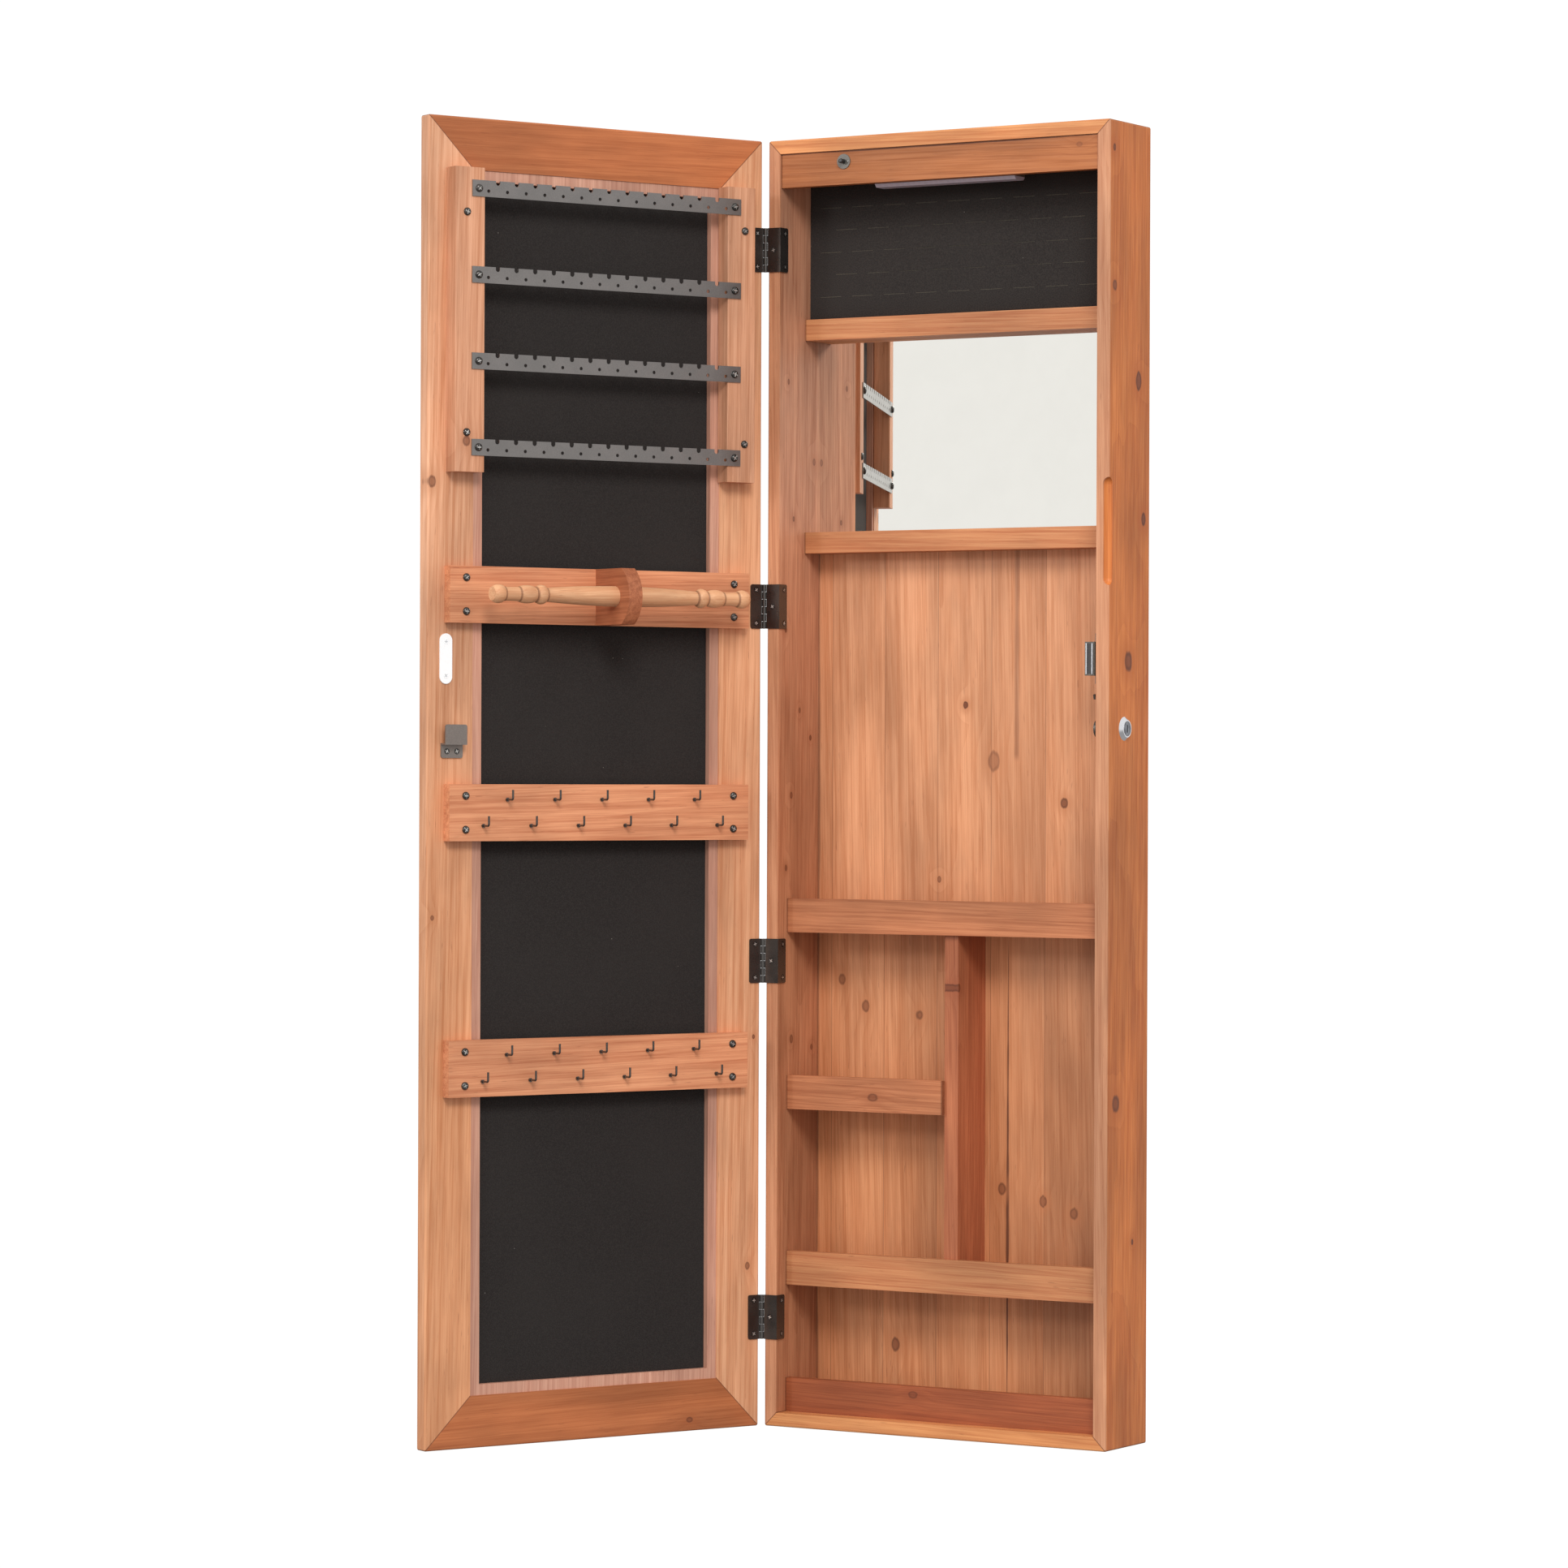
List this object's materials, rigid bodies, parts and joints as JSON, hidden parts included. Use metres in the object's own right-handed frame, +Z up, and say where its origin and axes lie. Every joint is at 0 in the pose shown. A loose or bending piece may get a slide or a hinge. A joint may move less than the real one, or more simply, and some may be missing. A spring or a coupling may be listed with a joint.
{
  "type": "wall-hung mirrored jewelry cabinet",
  "caption": "Tall wall-hung jewelry cabinet in stained wood with a mirrored door, earring bars, hooks, bracelet rod, ring cushion and shelves.",
  "frame": {"origin": "middle of the back face that lies on the wall, at half the height", "axes": "+Z up, +Y into the wall, the open front faces -Y, +X to the lock side"},
  "size_m": [0.539, 0.4161, 1.219],
  "materials": {
    "stained_wood": "orange-brown stained fir with knots, satin",
    "bead_wood": "paler rough-sawn stained wood, matte",
    "turned_wood": "pale turned hardwood, satin",
    "black_felt": "black felt, matte",
    "black_foam": "black velvet-faced foam",
    "black_steel": "black powder coat, satin",
    "dark_screws": "black oxide, glossy",
    "dark_bronze": "dark bronze plating, satin",
    "bright_zinc": "bright zinc plating",
    "chrome": "polished chrome",
    "magnet_black": "ferrite magnet, matte",
    "mirror_glass": "silvered glass",
    "grey_plastic": "grey plastic, satin",
    "black_plastic": "black plastic, satin",
    "lens_plastic": "milky lens plastic",
    "cell_jacket": "plain grey cell jackets"
  },
  "bodies": {
    "cabinet": {"left_side": "stained_wood", "right_side": "stained_wood", "top_board": "stained_wood", "bottom_board": "stained_wood", "back_panel": "stained_wood", "light_valance": "stained_wood", "light_soffit": "stained_wood", "ring_rail": "stained_wood", "mirror_rail": "stained_wood", "upper_shelf": "stained_wood", "upper_shelf_lip": "stained_wood", "middle_shelf": "stained_wood", "middle_shelf_lip": "stained_wood", "lower_shelf": "stained_wood", "lower_shelf_lip": "stained_wood", "bottom_lip": "stained_wood", "divider": "stained_wood", "ring_cushion": "black_foam", "hinge_cabinet_leaves": "black_steel", "hinge_pins": "black_steel", "cabinet_hardware_screws": "dark_screws", "catch_housing": "dark_bronze", "catch_poles": "bright_zinc", "lock_nut": "bright_zinc", "hanger_plates": "bright_zinc", "hanger_screws": "bright_zinc", "lock_housing": "chrome", "catch_magnet": "magnet_black", "small_mirror": "mirror_glass", "switch_housing": "grey_plastic", "light_housing": "grey_plastic", "battery_tray": "black_plastic", "light_diffuser": "lens_plastic", "battery_cells": "cell_jacket"},
    "door": {"door_hinge_stile": "stained_wood", "door_lock_stile": "stained_wood", "door_top_rail": "stained_wood", "door_bottom_rail": "stained_wood", "door_mirror": "mirror_glass", "door_backing": "black_felt", "door_beads": "bead_wood", "earring_strips": "stained_wood", "earring_bars": "black_steel", "earring_screws": "dark_screws", "bracelet_board": "stained_wood", "bracelet_bracket": "stained_wood", "bracelet_rod": "turned_wood", "hook_board_upper": "stained_wood", "hook_board_lower": "stained_wood", "hooks_upper": "black_steel", "hooks_lower": "black_steel", "board_screws": "dark_screws", "hinge_door_leaves": "black_steel", "strike_plate": "bright_zinc", "lock_keeper": "dark_bronze", "door_hardware_screws": "dark_screws"},
    "lock_cylinder": {"lock_plug": "dark_bronze", "lock_cam": "dark_bronze", "cam_screw": "bright_zinc"},
    "light_button": {"switch_plunger": "black_plastic"}
  },
  "joints": [
    {"name": "door_swing", "type": "hinge", "parent": "cabinet", "child": "door", "pos_m": [-0.1854, -0.0824, 0], "axis": [0, 0, -1], "range_deg": [-114.6, 65.4]},
    {"name": "lock_turn", "type": "hinge", "parent": "cabinet", "child": "lock_cylinder", "pos_m": [0.183, -0.049, 0.052], "axis": [1, 0, 0], "range_deg": [0, 90]},
    {"name": "light_press", "type": "slide", "parent": "cabinet", "child": "light_button", "axis": [0, 1, 0], "range_m": [-0.0018, 0.0031]}
  ],
  "couplings": [
    {"joint": "light_press", "follows": "door_swing", "m_per_rad": -0.0015}
  ]
}
